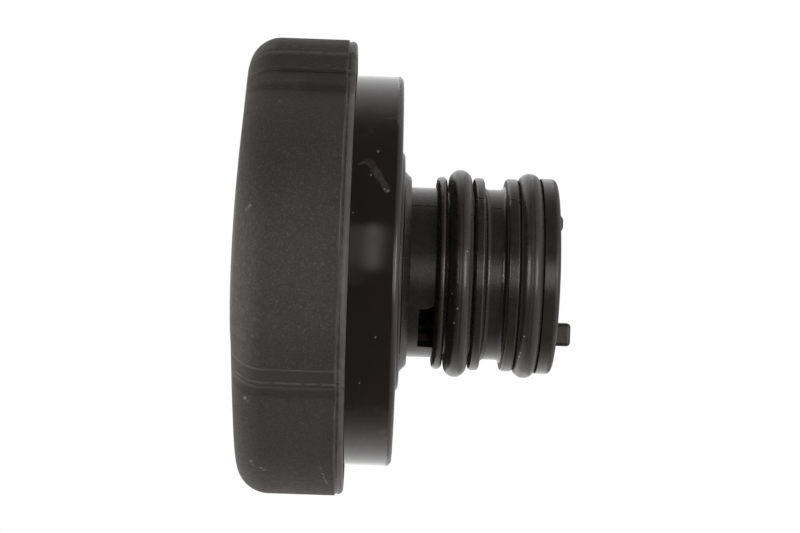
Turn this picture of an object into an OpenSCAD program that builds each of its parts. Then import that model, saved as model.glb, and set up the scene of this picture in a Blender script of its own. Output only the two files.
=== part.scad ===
// Screw cap for a coolant expansion tank. A grip cover is snapped over a threaded cup, and a
// sealing plug with two O-rings swivels in the cup's hub. The plug holds a sprung pressure
// valve, and that valve holds a small vacuum valve. +Z points up through the crown of the
// cover, and the origin is on the axis at the mouth of the cup's skirt.

/* [Grip cover] */
// Depth of each finger scoop below the crests of the grip
scoop_depth = 3.9; // [1:0.05:5]
// Wall of the cover at the foot of a scoop
foot_wall = 1.4; // [1:0.1:2.5]
// Number of finger scoops round the cover
grip_sectors = 4; // [3:1:8]
// Height of the crown's apex above the mouth of the skirt
crown_z = 25.4; // [24:0.1:40]
// Radius of the crown's shallow dome
crown_dome_r = 290; // [150:1:600]
// Height of the cover's rim above the mouth of the skirt
rim_z = 7.3; // [4:0.1:10]
// Wall of the cover at its crests
cover_wall = 1.8; // [1.2:0.1:2.5]
// Height of the smooth band along the rim
rim_band = 1.3; // [0.8:0.1:3]
// How far the smooth band stands back from the textured wall
rim_step = 0.2; // [0.1:0.05:0.5]
// How much the crown stands higher at a crest than at the foot of a scoop
crown_step = 0.3; // [0:0.05:1]
// Height of the rounded shoulder between the crown and the grip
shoulder_h = 4.3; // [2:0.1:8]
// Width of that shoulder at a crest
shoulder_crest_r = 4.4; // [2:0.1:8]
// Width of that shoulder at the foot of a scoop
shoulder_foot_r = 2.4; // [1.8:0.1:8]
// Angle by which the grip's outline turns on its way up the shoulder
shoulder_swirl = 2.5; // [0:0.5:8]

/* [Threaded cup] */
// Outer radius of the skirt
skirt_r = 30.4; // [28:0.1:40]
// Wall of the skirt
skirt_wall = 2.1; // [1.5:0.1:3]
// Height of the web's underside above the mouth of the skirt
web_z = 14; // [12:0.1:15]
// Thickness of the web
web_t = 2.2; // [1.5:0.1:3]
// Wall of the hub
hub_wall = 3; // [2:0.1:4]
// How far the hub reaches below the mouth of the skirt
hub_drop = 0.65; // [0:0.05:3]
// Height of the thread's ridge above the wall of the skirt
thread_h = 1.4; // [0.8:0.1:2]
// Rise of the thread in one turn
thread_lead = 8; // [6:0.5:12]
// Number of thread starts
thread_starts = 2; // [1:1:3]

/* [Plug] */
// Radius of the filler neck's bore, in which the plug seals
filler_bore_r = 15.5; // [14:0.05:17]
// Clearance of the plug's end flange in that bore
pilot_gap = 0.25; // [0.1:0.05:0.5]
// How far the other flanges stand back from the end flange
flange_back = 0.2; // [0:0.05:0.5]
// Height of the flanges above the barrel
flange_h = 1.8; // [1:0.1:2.5]
// Wall of the barrel
barrel_wall = 2.25; // [1.5:0.05:3]
// Wall of the neck above the collar
neck_wall = 2.2; // [1.8:0.05:3]
// Height of the collar's shoulder above the neck
collar_step = 2.5; // [2:0.1:4]
// Depth of the collar's end below the mouth of the skirt
collar_end = 1.75; // [1.4:0.05:3]
// Depth of the plug's end face below the mouth of the skirt
plug_end = 23.95; // [23.5:0.05:30]
// Thickness of the end flange
end_flange_t = 2; // [1.8:0.1:4]
// Angle that each relief window spans
window_deg = 35; // [15:1:60]
// Height of each relief window
window_h = 2.4; // [1.5:0.1:2.6]

/* [O-rings] */
// Thickness of the O-rings' section
ring_section = 3.5; // [3:0.05:3.5]
// Room for the upper O-ring between its groove and the filler neck's bore
upper_room = 2.8; // [2.5:0.05:3.1]
// Room for the lower O-ring between its groove and the filler neck's bore
lower_room = 3; // [2.7:0.05:3.1]
// Width of the upper O-ring's groove
upper_groove_w = 4.2; // [3.6:0.05:5]
// Width of the lower O-ring's groove
lower_groove_w = 3.6; // [3.55:0.05:5]

/* [Valves] */
// Travel of the vacuum valve
vacuum_travel = 1.2; // [0.5:0.1:1.2]
// Wire thickness of the main spring
main_wire = 1.5; // [1:0.1:2]
// Turns of the main spring
main_turns = 7; // [5:0.5:9]
// Wire thickness of the vacuum spring
small_wire = 0.5; // [0.3:0.05:0.6]
// Turns of the vacuum spring
small_turns = 6; // [4:0.5:8]
// Length of the vacuum spring as fitted
small_spring_l = 8.2; // [6:0.1:10]
// Height of the square peg on the end plate
peg_h = 3.4; // [1:0.1:5]
// Width of the square peg
peg_w = 3.6; // [2:0.1:4]

/* [Hidden] */
$fn = 96;

// Clearance of a turning or sliding fit, and of a loose one
fit_gap = 0.06;
play = 0.2;
loose = 0.3;
// How far a fused rib reaches into its wall
bite = 0.6;
// A cut's overshoot past the face it opens
over = 1;

// Grip outline. The foot of a scoop keeps clear of the skirt by its wall. The flank falls from
// the crest's edge to the foot of the next scoop in ribbed steps, given as degrees past the
// edge and shares of the scoop's depth.
grip_r = skirt_r + loose + foot_wall + scoop_depth;
edge_share = 0.08;
flank = [[0, edge_share], [1.1, 0.25], [4, 0.445], [5, 0.5], [5.1, 0.665], [6.6, 0.605],
    [7.6, 0.775], [8.6, 0.885], [9.6, 0.955], [10.9, 1]];
flank_deg = flank[len(flank) - 1][0];
crest_deg = 8;
sector_deg = 360 / grip_sectors;
ramp_deg = sector_deg - flank_deg - crest_deg;
ramp_steps = 12;
ramp_ease = 1.2;
edge_phase = -23.5;
shoulder_steps = 6;
inner_steps = 4;
// The step in the crown fades out between these radii
fade_in_r = 8;
fade_out_r = 30;
roof = 2.2;
rim_round = 0.8;

// The plug's radii step down from the filler neck's bore to the valves' bore.
pilot_r = filler_bore_r - pilot_gap;
flange_r = pilot_r - flange_back;
barrel_r = flange_r - flange_h;
valve_bore_r = barrel_r - barrel_wall;
neck_r = valve_bore_r + neck_wall;
collar_r = neck_r + collar_step;
upper_floor_r = filler_bore_r - upper_room;
lower_floor_r = filler_bore_r - lower_room;

// Cup
skirt_in_r = skirt_r - skirt_wall;
web_top = web_z + web_t;
skirt_round = 0.95;
cup_chamfer = 2.2;
hub_round = 0.8;
hub_bore_r = collar_r + fit_gap;
hub_r = hub_bore_r + hub_wall;
hub_step_t = 4;
neck_bore_r = neck_r + fit_gap;
thread_crest = 1.4;
thread_root = 3.2;
thread_deg = 330;
thread_start_z = 2.4;
thread_root_bite = 0.5;

// Hooks that hold the cover on the cup, and the ribs that drive it
hooks = 4;
hook_phase = 45;
hook_t = 1.6;
hook_w = 7;
hook_barb = 1;
hook_barb_h = 1.5;
ring_t = 1.4;
ring_edge = 1.6;
ring_r = skirt_r - cup_chamfer - ring_edge;
hook_r = ring_r - ring_t - play - hook_barb - hook_t;
rib_marks = [35, 55, 75];
rib_t = 1.4;
rib_top = web_z;

// Plug. Each flange is given by the depths of its upper and lower face below the mouth of the
// skirt, from the end flange upwards.
collar_chamfer = 1;
flange_t = 1.55;
thick_flange_t = 1.9;
middle_groove_w = 3.4;
flange_d = plug_end - end_flange_t;
flange_c = [flange_d - lower_groove_w - thick_flange_t, flange_d - lower_groove_w];
flange_b = [flange_c[0] - middle_groove_w - flange_t, flange_c[0] - middle_groove_w];
flange_a = [flange_b[0] - upper_groove_w - flange_t, flange_b[0] - upper_groove_w];
flange_flat = 0.1;
groove_r = barrel_r + 0.05;
groove_fillet = 0.9;
flange_round = 0.45;
end_round = 0.8;
upper_ring_z = -(flange_a[1] + flange_b[0]) / 2;
lower_ring_z = -(flange_c[1] + flange_d) / 2;
window_top = flange_a[0] - window_h;
windows = 2;
window_phase = -132;

// Swivel stack, from the collar's shoulder up
hub_step_z = web_z - hub_step_t;
thrust_t = 1;
collar_top = hub_step_z - play - thrust_t;
slip_t = 0.8;
slip_z = web_top + play;
clip_z = slip_z + slip_t;
clip_t = 1.2;
clip_depth = 1;
clip_out = 1.8;
clip_gap_deg = 50;
neck_end = 1.2;
neck_top = clip_z + clip_t + neck_end;

// Valve chamber
plate_seat_step = 1;
plate_seat_r = valve_bore_r + plate_seat_step;
plate_t = 2.2;
chamber_roof = 10;
chamber_roof_t = 2;
seat_t = 0.8;
seat_r = valve_bore_r - 1.8;
spigot_gap = 0.5;
spigot_h = 1.2;
spigot_t = 0.9;
lip_t = 1.1;
lip_r = valve_bore_r - 3.7;
inlet_r = 1.5;
inlet_ring_r = (lip_r - lip_t / 2) * 0.6;
inlets = 5;
nub_r = 1.7;
nub_h = 1.75;
nub_x = plate_seat_r - 3.7;
peg_x = -(plate_seat_r - 3);
peg_round = 0.6;

// Valves, from the seat lip up. The lip leaves the poppet its travel above the plate.
poppet_r = 4.6;
poppet_t = 0.9;
poppet_gap = 0.4;
vacuum_seal_t = 0.7;
seal_t = 1.5;
plate_z = -plug_end + plate_t;
seal_z = plate_z + vacuum_travel + play + poppet_t + vacuum_seal_t - seal_t;
valve_z = seal_z + seal_t;
valve_t = 1.4;
valve_gap = 1.3;
valve_r = valve_bore_r - valve_gap;
valve_rim_t = 0.7;
valve_rim_h = 0.9;
seal_in_r = poppet_r + poppet_gap;
seal_out_r = valve_r - valve_rim_t;
fins = 6;
fin_t = 1.2;
fin_h = 3.5;
main_spring_r = valve_bore_r - 3.25;
spigot_r = main_spring_r - main_wire / 2 - spigot_gap;
boss_r = 2.2;
boss_h = 3.6;
small_spring_r = boss_r + small_wire / 2 + spigot_gap;
stem_r = 1.5;
vent_r = 0.6;
vent_ring_r = small_spring_r + small_wire / 2;
vents = 4;
clip_disc_r = small_spring_r + small_wire / 2 + 0.6;
clip_disc_t = 0.7;
clip_neck_r = 1.1;
clip_slot = 1.8;
clip_seat_z = valve_z + valve_t + small_spring_l;
stem_head = 0.6;
spring_top = chamber_roof - seat_t;

function mix(a, b, t) = a + (b - a) * t;
function clamp01(t) = min(max(t, 0), 1);
function smooth(t) = let (c = clamp01(t)) c * c * (3 - 2 * c);

// Marks round the grip outline, each an angle and the share of the scoop's depth reached there
sector_marks = concat(
    flank,
    [for (i = [1 : ramp_steps])
        let (u = i / ramp_steps)
        [flank_deg + ramp_deg * u, pow(1 - u, ramp_ease)]],
    [[sector_deg - crest_deg / 2, edge_share / 4]]
);
marks = [for (k = [0 : grip_sectors - 1]) for (m = sector_marks)
    [edge_phase - k * sector_deg - m[0], m[1]]];

function grip_at(share) = grip_r - scoop_depth * share;
function inner_r(share) = max(grip_at(share) - cover_wall, skirt_r + loose);
function shoulder_r(share) = mix(shoulder_crest_r, shoulder_foot_r, share);
function swirl(t) = shoulder_swirl * (1 - sin(t));
function crown(r, share) = crown_z - r * r / (2 * crown_dome_r)
    - crown_step * share * smooth((r - fade_in_r) / (fade_out_r - fade_in_r));

// One meridian of the cover's outside, from near the apex to the rim. Each point is a radius, a
// height and the angle by which the swirl has turned it.
function outer_line(share) =
    let (
        r = grip_at(share),
        sr = shoulder_r(share),
        flat = r - sr,
        wall_top = crown(r, share) - shoulder_h,
        line_z = rim_z + rim_band,
        band_r = r - rim_step,
        round = min(rim_round, band_r - inner_r(share) - 0.1)
    )
    concat(
        [for (f = [0.25, 0.5, 0.75, 1]) [flat * f, crown(flat * f, share), swirl(0)]],
        [for (k = [1 : shoulder_steps])
            let (t = 90 * k / shoulder_steps, x = flat + sr * sin(t))
            [x, crown(x, share) - shoulder_h * (1 - cos(t)), swirl(t)]],
        [[r, (wall_top + line_z) / 2, 0], [r, line_z, 0], [band_r, line_z - rim_step, 0]],
        [for (t = [0 : 30 : 90])
            [band_r - round * (1 - cos(t)), rim_z + round * (1 - sin(t)), 0]]
    );

// The same meridian on the inside, from the rim to near the apex
function inner_line(share) =
    let (
        in_r = inner_r(share),
        flat = grip_at(share) - shoulder_r(share),
        in_sr = in_r - flat
    )
    concat(
        [[in_r, rim_z, 0]],
        [for (k = [inner_steps : -1 : 0])
            let (t = 90 * k / inner_steps, x = flat + in_sr * sin(t))
            [x, crown(x, share) - roof - shoulder_h * (1 - cos(t)), swirl(t)]],
        [for (f = [0.66, 0.33]) [flat * f, crown(flat * f, share) - roof, swirl(0)]]
    );

function round_point(deg, p) = [p[0] * cos(deg), p[0] * sin(deg), p[1]];

// A closed skin through rings of points, with a pole before the first and after the last
module skin(lines, angles, first_pole, last_pole) {
    n = len(lines);
    m = len(lines[0]);
    points = concat(
        [for (i = [0 : n - 1]) for (p = lines[i]) round_point(angles[i] + p[2], p)],
        [first_pole, last_pole]
    );
    faces = [for (i = [0 : n - 1])
        let (a = i * m, b = ((i + 1) % n) * m)
        each concat(
            [[n * m, a, b], [n * m + 1, b + m - 1, a + m - 1]],
            [for (j = [0 : m - 2]) each [[a + j, b + j + 1, b + j], [a + j, a + j + 1, b + j + 1]]]
        )];
    polyhedron(points, faces);
}

// A tube of eight sides along a path, its section set out in the plane of the axis
module coil_tube(path, wire_r) {
    sides = 8;
    n = len(path);
    points = [for (p = path) for (k = [0 : sides - 1])
        round_point(p[0], [p[1] + wire_r * cos(k * 360 / sides), p[2] + wire_r * sin(k * 360 / sides)])];
    faces = concat(
        [[for (k = [0 : sides - 1]) k], [for (k = [sides - 1 : -1 : 0]) (n - 1) * sides + k]],
        [for (i = [0 : n - 2]) for (k = [0 : sides - 1])
            let (a = i * sides + k, b = i * sides + (k + 1) % sides)
            each [[a, a + sides, b + sides], [a, b + sides, b]]]
    );
    polyhedron(points, faces);
}

// A compression spring with a closed turn at each end
module coil_spring(mean_r, wire, low_z, high_z, turns) {
    steps_a_turn = 14;
    closed = 1.1 * wire;
    active = high_z - low_z - wire - 2 * closed;
    steps = round(turns * steps_a_turn);
    path = [for (i = [0 : steps])
        let (
            t = turns * i / steps,
            rise = closed * (clamp01(t) + clamp01(t - turns + 1))
                + active * clamp01((t - 1) / (turns - 2))
        )
        [360 * t, mean_r, low_z + wire / 2 + rise]];
    coil_tube(path, wire / 2);
}

// Section of a ring with its two outer corners rounded
module round_section(in_r, out_r, low_z, high_z, round) {
    translate([in_r, low_z]) square([out_r - round - in_r, high_z - low_z]);
    translate([in_r, low_z + round]) square([out_r - in_r, high_z - low_z - 2 * round]);
    for (z = [low_z + round, high_z - round])
        translate([out_r - round, z]) circle(round);
}

// Concave fillet in the corner at a radius and a height, open towards the given sides
module fillet_section(r, z, size, up) {
    translate([r, z])
        mirror([0, up ? 0 : 1])
            difference() {
                translate([-size, 0]) square([2 * size, size]);
                translate([size, size]) circle(size);
                translate([-size - over, -over]) square([over, size + 2 * over]);
            }
}

module plain_ring(in_r, out_r, low_z, high_z) {
    rotate_extrude()
        translate([in_r, low_z]) square([out_r - in_r, high_z - low_z]);
}

// One ridge of the internal thread, running out to nothing at both ends
module thread_ridge(phase) {
    steps = 44;
    wall = skirt_in_r + thread_root_bite;
    path = [for (i = [0 : steps])
        let (
            f = i / steps,
            fade = smooth(min(f, 1 - f) * 8),
            z = thread_start_z + thread_lead * thread_deg / 360 * f,
            crest_r = skirt_in_r - thread_h * fade + 0.05 * (1 - fade)
        )
        [phase + thread_deg * f, z, crest_r, fade]];
    n = len(path);
    points = [for (p = path)
        let (root = thread_root / 2, crest = thread_crest / 2)
        each [
            round_point(p[0], [wall, p[1] - root]),
            round_point(p[0], [p[2], p[1] - crest]),
            round_point(p[0], [p[2], p[1] + crest]),
            round_point(p[0], [wall, p[1] + root])
        ]];
    faces = concat(
        [[0, 1, 2, 3], [for (k = [3 : -1 : 0]) (n - 1) * 4 + k]],
        [for (i = [0 : n - 2]) for (k = [0 : 3])
            let (a = i * 4 + k, b = i * 4 + (k + 1) % 4)
            each [[a, b + 4, b], [a, a + 4, b + 4]]]
    );
    polyhedron(points, faces);
}

module grip_cover() color([0.21, 0.2, 0.19]) {
    apex = [0, 0, crown_z];
    union() {
        skin([for (m = marks) concat(outer_line(m[1]), inner_line(m[1]))],
            [for (m = marks) m[0]], apex, apex - [0, 0, roof]);
        // ring that bears on the cup's web
        plain_ring(ring_r - ring_t, ring_r, web_top, crown(ring_r, 1) - roof + bite);
        // ribs that centre the cover on the cup
        for (k = [0 : grip_sectors - 1]) for (a = rib_marks)
            let (
                f = clamp01((a - flank_deg) / ramp_deg),
                wall_r = inner_r(pow(1 - f, ramp_ease)),
                low = rim_z + rim_band
            )
            rotate(edge_phase - k * sector_deg - a)
                translate([skirt_r + 0.1, -rib_t / 2, low])
                    cube([wall_r + bite - skirt_r - 0.1, rib_t, rib_top - low]);
        // hooks that reach through the web and snap under it
        for (k = [0 : hooks - 1])
            rotate(hook_phase + k * 360 / hooks)
                translate([hook_r, hook_w / 2, 0])
                    rotate([90, 0, 0])
                        linear_extrude(hook_w)
                            hook_section();
    }
}

// A hook's side view, with its barb just under the web
module hook_section() {
    tip = web_z - play - hook_barb_h;
    head = crown(hook_r, 1) - roof + bite;
    polygon([[0, tip], [hook_t, tip], [hook_t + hook_barb, web_z - play],
        [hook_t, web_z - play], [hook_t, head], [0, head]]);
}

module threaded_cup() color([0.12, 0.11, 0.11]) {
    difference() {
        union() {
            rotate_extrude() cup_section();
            for (k = [0 : thread_starts - 1])
                thread_ridge(k * 360 / thread_starts);
        }
        for (k = [0 : hooks - 1])
            rotate(hook_phase + k * 360 / hooks)
                translate([hook_r - play, -hook_w / 2 - play, web_z - over])
                    cube([hook_t + hook_barb + 2 * play, hook_w + 2 * play, web_t + 2 * over]);
    }
}

// Half section of the cup, without its thread
module cup_section() {
    // skirt, with its outer corner rounded at the mouth
    translate([skirt_in_r, skirt_round]) square([skirt_wall, web_top - cup_chamfer - skirt_round]);
    translate([skirt_in_r, 0]) square([skirt_wall - skirt_round, skirt_round + 0.1]);
    translate([skirt_r - skirt_round, skirt_round]) circle(skirt_round);
    // web
    polygon([[neck_bore_r, web_z], [skirt_r, web_z], [skirt_r, web_top - cup_chamfer],
        [skirt_r - cup_chamfer, web_top], [neck_bore_r, web_top]]);
    // hub and the step that its bore narrows to
    translate([0, -hub_drop]) {
        translate([hub_bore_r, 0]) square([hub_r - hub_bore_r - hub_round, hub_round]);
        translate([hub_bore_r, hub_round]) square([hub_r - hub_bore_r, web_top + hub_drop - hub_round]);
        translate([hub_r - hub_round, hub_round]) circle(hub_round);
    }
    translate([neck_bore_r, hub_step_z]) square([hub_bore_r - neck_bore_r + bite, web_top - hub_step_z]);
}

// Half section of the plug's outside, before its bore is cut
module housing_section() {
    // collar that turns in the hub
    polygon([[0, -collar_end], [collar_r - collar_chamfer, -collar_end],
        [collar_r, -collar_end + collar_chamfer], [collar_r, collar_top], [0, collar_top]]);
    // neck, with the groove for the circlip
    square([neck_r, clip_z]);
    translate([0, clip_z - over]) square([neck_r - clip_depth, clip_t + 2 * over]);
    translate([0, clip_z + clip_t]) square([neck_r, neck_top - clip_z - clip_t]);
    // barrel down to the first flange
    translate([0, -flange_a[1]]) square([barrel_r, flange_a[1]]);
    // floors of the O-ring grooves and of the groove between them
    translate([0, -flange_b[1]]) square([upper_floor_r, flange_b[1]]);
    translate([0, -flange_c[1]]) square([groove_r, flange_c[1] - flange_b[0]]);
    translate([0, -plug_end]) square([lower_floor_r, plug_end - flange_c[0]]);
    // flanges
    round_section(0, flange_r, -flange_a[1], -flange_a[0], (flange_t - flange_flat) / 2);
    round_section(0, flange_r, -flange_b[1], -flange_b[0], flange_round);
    round_section(0, flange_r, -flange_c[1], -flange_c[0], flange_round);
    translate([0, -flange_d - 2 * end_round]) square([pilot_r, 2 * end_round]);
    round_section(0, pilot_r, -plug_end, -flange_d - end_round, end_round);
    fillet_section(groove_r, -flange_c[0], groove_fillet, true);
    fillet_section(groove_r, -flange_b[1], groove_fillet, false);
}

module valve_housing() color([0.17, 0.16, 0.15]) {
    difference() {
        rotate_extrude() housing_section();
        // valve chamber and the seat of the end plate
        translate([0, 0, -plug_end - over]) cylinder(r = valve_bore_r, h = plug_end + over + chamber_roof);
        translate([0, 0, -plug_end - over]) cylinder(r = plate_seat_r, h = plate_t + over);
        // pocket that keeps the wall even above the chamber
        translate([0, 0, chamber_roof + chamber_roof_t])
            cylinder(r = valve_bore_r, h = neck_top);
        // relief windows
        for (k = [0 : windows - 1])
            rotate(window_phase + k * 360 / windows - window_deg / 2)
                rotate_extrude(angle = window_deg)
                    translate([valve_bore_r - over, -window_top - window_h])
                        square([barrel_r - valve_bore_r + 2 * over, window_h]);
    }
}

module o_ring(floor_r, z) {
    translate([0, 0, z])
        rotate_extrude()
            translate([floor_r + ring_section / 2, 0]) circle(d = ring_section);
}

module upper_o_ring() color([0.1, 0.1, 0.1]) o_ring(upper_floor_r, upper_ring_z);

module lower_o_ring() color([0.1, 0.1, 0.1]) o_ring(lower_floor_r, lower_ring_z);

module end_plate() color([0.15, 0.14, 0.13]) {
    plate_r = plate_seat_r - fit_gap;
    difference() {
        union() {
            translate([0, 0, -plug_end]) cylinder(r = plate_r, h = plate_t);
            plain_ring(lip_r - lip_t / 2, lip_r + lip_t / 2, -plug_end, seal_z);
            // domed nub
            translate([nub_x, 0, -plug_end]) {
                translate([0, 0, -nub_h + nub_r / 2]) cylinder(r = nub_r, h = nub_h);
                intersection() {
                    translate([0, 0, -nub_h + nub_r]) sphere(nub_r * 1.1);
                    translate([0, 0, -nub_h]) cylinder(r = nub_r, h = nub_h);
                }
            }
            // square peg with rounded edges
            translate([peg_x, 0, -plug_end - peg_h]) round_peg();
        }
        for (k = [0 : inlets - 1])
            rotate(k * 360 / inlets)
                translate([inlet_ring_r, 0, -plug_end - over])
                    cylinder(r = inlet_r, h = plate_t + 2 * over);
    }
}

module round_peg() {
    side = peg_w - 2 * peg_round;
    h = peg_h + bite;
    translate([-side / 2, -peg_w / 2, peg_round]) cube([side, peg_w, h - peg_round]);
    translate([-peg_w / 2, -side / 2, peg_round]) cube([peg_w, side, h - peg_round]);
    translate([-side / 2, -side / 2, 0]) cube([side, side, h]);
    for (x = [-1, 1]) for (y = [-1, 1])
        translate([x * side / 2, y * side / 2, peg_round]) {
            cylinder(r = peg_round, h = h - peg_round);
            sphere(peg_round);
        }
    for (s = [-1, 1]) {
        translate([s * side / 2, 0, peg_round])
            rotate([90, 0, 0]) cylinder(r = peg_round, h = side, center = true);
        translate([0, s * side / 2, peg_round])
            rotate([0, 90, 0]) cylinder(r = peg_round, h = side, center = true);
    }
}

module thrust_washer() color([0.85, 0.83, 0.78])
    plain_ring(neck_r + play, collar_r - play, collar_top, collar_top + thrust_t);

module slip_washer() color([0.85, 0.83, 0.78])
    plain_ring(neck_r + play, neck_r + clip_out, slip_z, slip_z + slip_t);

// Open ring in the neck's groove
module circlip() color([0.5, 0.5, 0.52]) {
    floor_r = neck_r - clip_depth;
    rotate(clip_gap_deg / 2)
        rotate_extrude(angle = 360 - clip_gap_deg)
            translate([floor_r, clip_z]) square([clip_depth + clip_out - play, clip_t]);
}

module spring_seat() color([0.62, 0.62, 0.64]) {
    plain_ring(spigot_r - spigot_t, seat_r, spring_top, chamber_roof);
    plain_ring(spigot_r - spigot_t, spigot_r, spring_top - spigot_h, chamber_roof);
}

module pressure_spring() color([0.6, 0.6, 0.62])
    coil_spring(main_spring_r, main_wire, valve_z + valve_t, spring_top, main_turns);

module pressure_valve_plate() color([0.78, 0.74, 0.62]) {
    difference() {
        union() {
            translate([0, 0, valve_z]) cylinder(r = valve_r, h = valve_t);
            // rim round the seal
            plain_ring(seal_out_r, valve_r, valve_z - valve_rim_h, valve_z + valve_t);
            // spigot that centres the main spring
            plain_ring(spigot_r - spigot_t, spigot_r, valve_z, valve_z + valve_t + spigot_h);
            translate([0, 0, valve_z]) cylinder(r = boss_r, h = valve_t + boss_h);
            // fins that guide the plate in the bore
            for (k = [0 : fins - 1])
                rotate(k * 360 / fins)
                    translate([main_spring_r + main_wire / 2 + loose, -fin_t / 2, valve_z])
                        cube([valve_bore_r - 2 * loose - main_spring_r - main_wire / 2, fin_t, fin_h]);
        }
        translate([0, 0, valve_z - over])
            cylinder(r = stem_r + fit_gap, h = valve_t + boss_h + 2 * over);
        for (k = [0 : vents - 1])
            rotate(k * 360 / vents)
                translate([vent_ring_r, 0, valve_z - over]) cylinder(r = vent_r, h = valve_t + 2 * over);
    }
}

module pressure_valve_seal() color([0.09, 0.09, 0.09])
    plain_ring(seal_in_r, seal_out_r, seal_z, valve_z);

module vacuum_poppet() color([0.78, 0.62, 0.3]) {
    low = valve_z - vacuum_seal_t - poppet_t;
    top = clip_seat_z + clip_disc_t + stem_head;
    translate([0, 0, low]) cylinder(r = poppet_r, h = poppet_t);
    translate([0, 0, low]) cylinder(r = stem_r, h = clip_seat_z - low);
    translate([0, 0, low]) cylinder(r = clip_neck_r, h = top - low);
    translate([0, 0, clip_seat_z + clip_disc_t]) cylinder(r = stem_r, h = stem_head);
}

module vacuum_seal() color([0.09, 0.09, 0.09])
    plain_ring(stem_r, poppet_r, valve_z - vacuum_seal_t, valve_z);

module vacuum_spring() color([0.6, 0.6, 0.62])
    coil_spring(small_spring_r, small_wire, valve_z + valve_t, clip_seat_z, small_turns);

// Slotted washer in the stem's groove
module vacuum_clip() color([0.5, 0.5, 0.52])
    difference() {
        plain_ring(clip_neck_r, clip_disc_r, clip_seat_z, clip_seat_z + clip_disc_t);
        translate([0, -clip_slot / 2, clip_seat_z - over])
            cube([clip_disc_r + over, clip_slot, clip_disc_t + 2 * over]);
    }

grip_cover();
threaded_cup();
valve_housing();
upper_o_ring();
lower_o_ring();
end_plate();
thrust_washer();
slip_washer();
circlip();
spring_seat();
pressure_spring();
pressure_valve_plate();
pressure_valve_seal();
vacuum_poppet();
vacuum_seal();
vacuum_spring();
vacuum_clip();
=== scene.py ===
"""Coolant tank cap: the finish of its plastics, rubbers and springs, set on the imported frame.
The cap keeps the frame it has on the tank, +Z up through the crown. The camera lies on its
side, so that the cap lies on its side in the picture, as photographed."""
import math

import bmesh
import bpy
from mathutils import Matrix, Vector


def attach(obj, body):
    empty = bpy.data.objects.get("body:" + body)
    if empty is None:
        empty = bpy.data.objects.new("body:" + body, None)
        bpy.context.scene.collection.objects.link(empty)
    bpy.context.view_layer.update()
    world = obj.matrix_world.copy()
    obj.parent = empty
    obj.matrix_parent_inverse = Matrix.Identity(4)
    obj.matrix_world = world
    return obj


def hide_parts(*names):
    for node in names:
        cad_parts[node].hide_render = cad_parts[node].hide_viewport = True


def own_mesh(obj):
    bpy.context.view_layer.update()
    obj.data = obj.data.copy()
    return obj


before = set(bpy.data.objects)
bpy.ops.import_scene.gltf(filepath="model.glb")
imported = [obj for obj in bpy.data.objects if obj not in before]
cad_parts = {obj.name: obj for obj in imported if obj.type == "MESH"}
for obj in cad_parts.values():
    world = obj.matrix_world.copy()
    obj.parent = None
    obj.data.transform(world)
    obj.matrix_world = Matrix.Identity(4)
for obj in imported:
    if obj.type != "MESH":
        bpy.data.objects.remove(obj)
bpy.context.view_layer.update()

MM = 0.001

# Grip cover, in millimetres and degrees, as the frame has it
GRIP_R = 36.0
SCOOP_DEPTH = 3.9
SECTORS = 4
SECTOR_DEG = 360 / SECTORS
EDGE_PHASE = -23.5
EDGE_SHARE = 0.08
# The flank's ribs: degrees past the crest's edge, and shares of the scoop's depth
FLANK = ((0, EDGE_SHARE), (1.1, 0.25), (4, 0.445), (5, 0.5), (5.1, 0.665), (6.6, 0.605),
         (7.6, 0.775), (8.6, 0.885), (9.6, 0.955), (10.9, 1))
GROOVE_DEG = FLANK[4][0]
NOTCH_DEG = FLANK[5][0] + 0.25
HOLLOW_DEG = 2
# Ribs' edges lit by painted highlight: degrees past the crest's edge, half width, strength
GLINT_EDGES = [(0.5, 0.15, 0.5), (5.8, 0.12, 0.8), (8.1, 0.2, 0.45)]
FLANK_DEG = FLANK[-1][0]
CREST_DEG = 8
RAMP_DEG = SECTOR_DEG - FLANK_DEG - CREST_DEG
RAMP_EASE = 1.2
CROWN_Z = 25.4
CROWN_DOME_R = 290
CROWN_STEP = 0.3
FADE_IN_R = 8
FADE_OUT_R = 30
SHOULDER_CREST_R, SHOULDER_FOOT_R = 4.4, 2.4
SHOULDER_H = 4.3
SHOULDER_SWIRL = 2.5
RIM_Z = 7.3
RIM_BAND = 1.3
RIM_STEP = 0.2
RIM_ROUND = 0.8
RIM_GROOVE = (RIM_Z + 0.85, RIM_Z + 1.18)
GROOVE_DEPTH = 0.12
COVER_WALL = 1.8
ROOF = 2.2
SKIRT_R = 30.4
LOOSE = 0.3

# Plug, as the frame has it
BARREL_R = 13.25
FLANGE_R = 15.05
PILOT_R = 15.25
GROOVE_R = 13.3
RING_SECTION = 3.5
UPPER_RING = (12.7, -9.4)
LOWER_RING = (12.5, -20.15)


def mix(a, b, t):
    return a + (b - a) * t


def clamp01(t):
    return min(max(t, 0), 1)


def smooth(t):
    c = clamp01(t)
    return c * c * (3 - 2 * c)


# Grip cover


def sharp_share(deg):
    """How far the outline lies below the crest at an angle past the crest's edge, as moulded before rounding."""
    deg = deg % SECTOR_DEG
    for (a, low), (b, high) in zip(FLANK, FLANK[1:]):
        if deg <= b:
            return mix(low, high, (deg - a) / (b - a))
    u = (deg - FLANK_DEG) / RAMP_DEG
    if u < 1:
        return (1 - u) ** RAMP_EASE
    return EDGE_SHARE * ((deg - FLANK_DEG - RAMP_DEG) / CREST_DEG) ** 2


def outline_share(deg):
    """The same with the tool's small radius on every rib."""
    taps = [-0.12, -0.08, -0.04, 0, 0.04, 0.08, 0.12]
    weights = [1, 3, 5, 6, 5, 3, 1]
    return sum(w * sharp_share(deg + t) for t, w in zip(taps, weights)) / sum(weights)


def crown_height(r, share):
    drop = CROWN_STEP * share * smooth((r - FADE_IN_R) / (FADE_OUT_R - FADE_IN_R))
    return CROWN_Z - r * r / (2 * CROWN_DOME_R) - drop


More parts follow.
